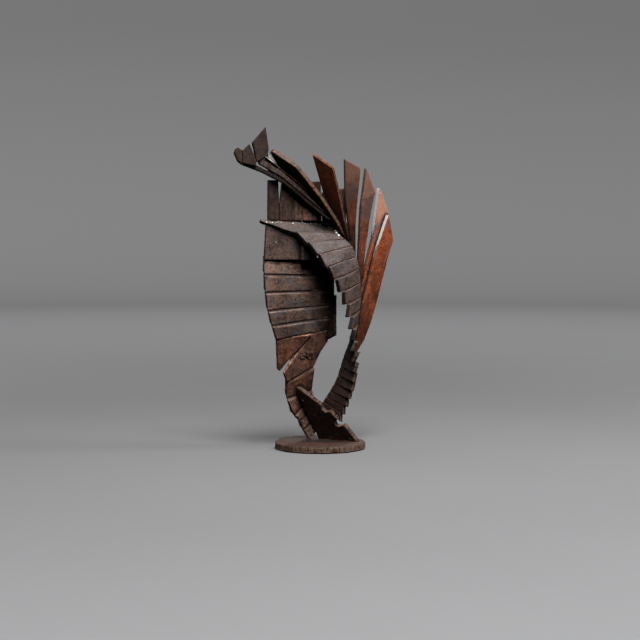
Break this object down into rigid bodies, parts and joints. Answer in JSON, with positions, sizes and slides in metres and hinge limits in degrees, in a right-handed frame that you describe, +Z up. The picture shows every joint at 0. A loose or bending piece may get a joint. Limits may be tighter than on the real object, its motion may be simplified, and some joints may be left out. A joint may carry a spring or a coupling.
{
  "type": "abstract metal sculpture",
  "caption": "Standing abstract sculpture of rusted flat steel bars welded side by side into a curved body, a winding ribbon, a fan of blades and a raised hand, on a round base plate.",
  "frame": {"origin": "centre of the base plate's underside", "axes": "+Z up from the underside, -Y towards the front that the picture shows, +X to the viewer's right"},
  "size_m": [0.2645, 0.15, 0.5324],
  "materials": {
    "dark_rusted_steel": "dark brown rust patina, dull",
    "brown_rusted_steel": "brown rust patina with worn edges, dull",
    "red_rusted_steel": "red-brown rust patina with ground edges, satin"
  },
  "bodies": {
    "root": {"base_disc": "brown_rusted_steel", "breast_bar_01": "brown_rusted_steel", "breast_bar_02": "brown_rusted_steel", "breast_bar_03": "brown_rusted_steel", "breast_bar_04": "brown_rusted_steel", "breast_bar_05": "brown_rusted_steel", "leg_bar_01": "brown_rusted_steel", "leg_bar_02": "brown_rusted_steel", "leg_bar_03": "brown_rusted_steel", "leg_bar_04": "brown_rusted_steel", "leg_bar_05": "brown_rusted_steel", "ribbon_bar_01": "brown_rusted_steel", "ribbon_bar_02": "brown_rusted_steel", "ribbon_bar_03": "brown_rusted_steel", "ribbon_bar_04": "brown_rusted_steel", "ribbon_bar_05": "brown_rusted_steel", "ribbon_bar_06": "brown_rusted_steel", "ribbon_bar_07": "brown_rusted_steel", "ribbon_bar_08": "brown_rusted_steel", "ribbon_bar_09": "brown_rusted_steel", "ribbon_bar_10": "brown_rusted_steel", "ribbon_bar_11": "brown_rusted_steel", "ribbon_bar_12": "brown_rusted_steel", "ribbon_bar_13": "brown_rusted_steel", "ribbon_bar_14": "brown_rusted_steel", "ribbon_bar_15": "brown_rusted_steel", "ribbon_bar_16": "brown_rusted_steel", "ribbon_bar_17": "brown_rusted_steel", "ribbon_bar_18": "brown_rusted_steel", "shelf_plate": "brown_rusted_steel", "knee_plate": "brown_rusted_steel", "spur_plate": "brown_rusted_steel", "side_plate_upper": "brown_rusted_steel", "side_plate_lower": "brown_rusted_steel", "chest_plate": "brown_rusted_steel", "tab_plate": "brown_rusted_steel", "panel_bar_1": "dark_rusted_steel", "panel_bar_2": "dark_rusted_steel", "panel_bar_3": "dark_rusted_steel", "panel_bar_4": "dark_rusted_steel", "panel_bar_5": "dark_rusted_steel", "panel_bar_6": "dark_rusted_steel", "panel_bar_7": "dark_rusted_steel", "foot_plate": "dark_rusted_steel", "hand_bar_lower": "dark_rusted_steel", "hand_bar_upper": "dark_rusted_steel", "hand_tip_left": "dark_rusted_steel", "hand_tip_middle": "dark_rusted_steel", "hand_tip_right": "dark_rusted_steel", "hand_blade": "dark_rusted_steel", "fan_blade_1": "red_rusted_steel", "fan_blade_2": "red_rusted_steel", "fan_blade_3": "red_rusted_steel", "fan_blade_4": "red_rusted_steel", "fan_blade_5": "red_rusted_steel", "fan_blade_6": "red_rusted_steel"}
  },
  "joints": []
}
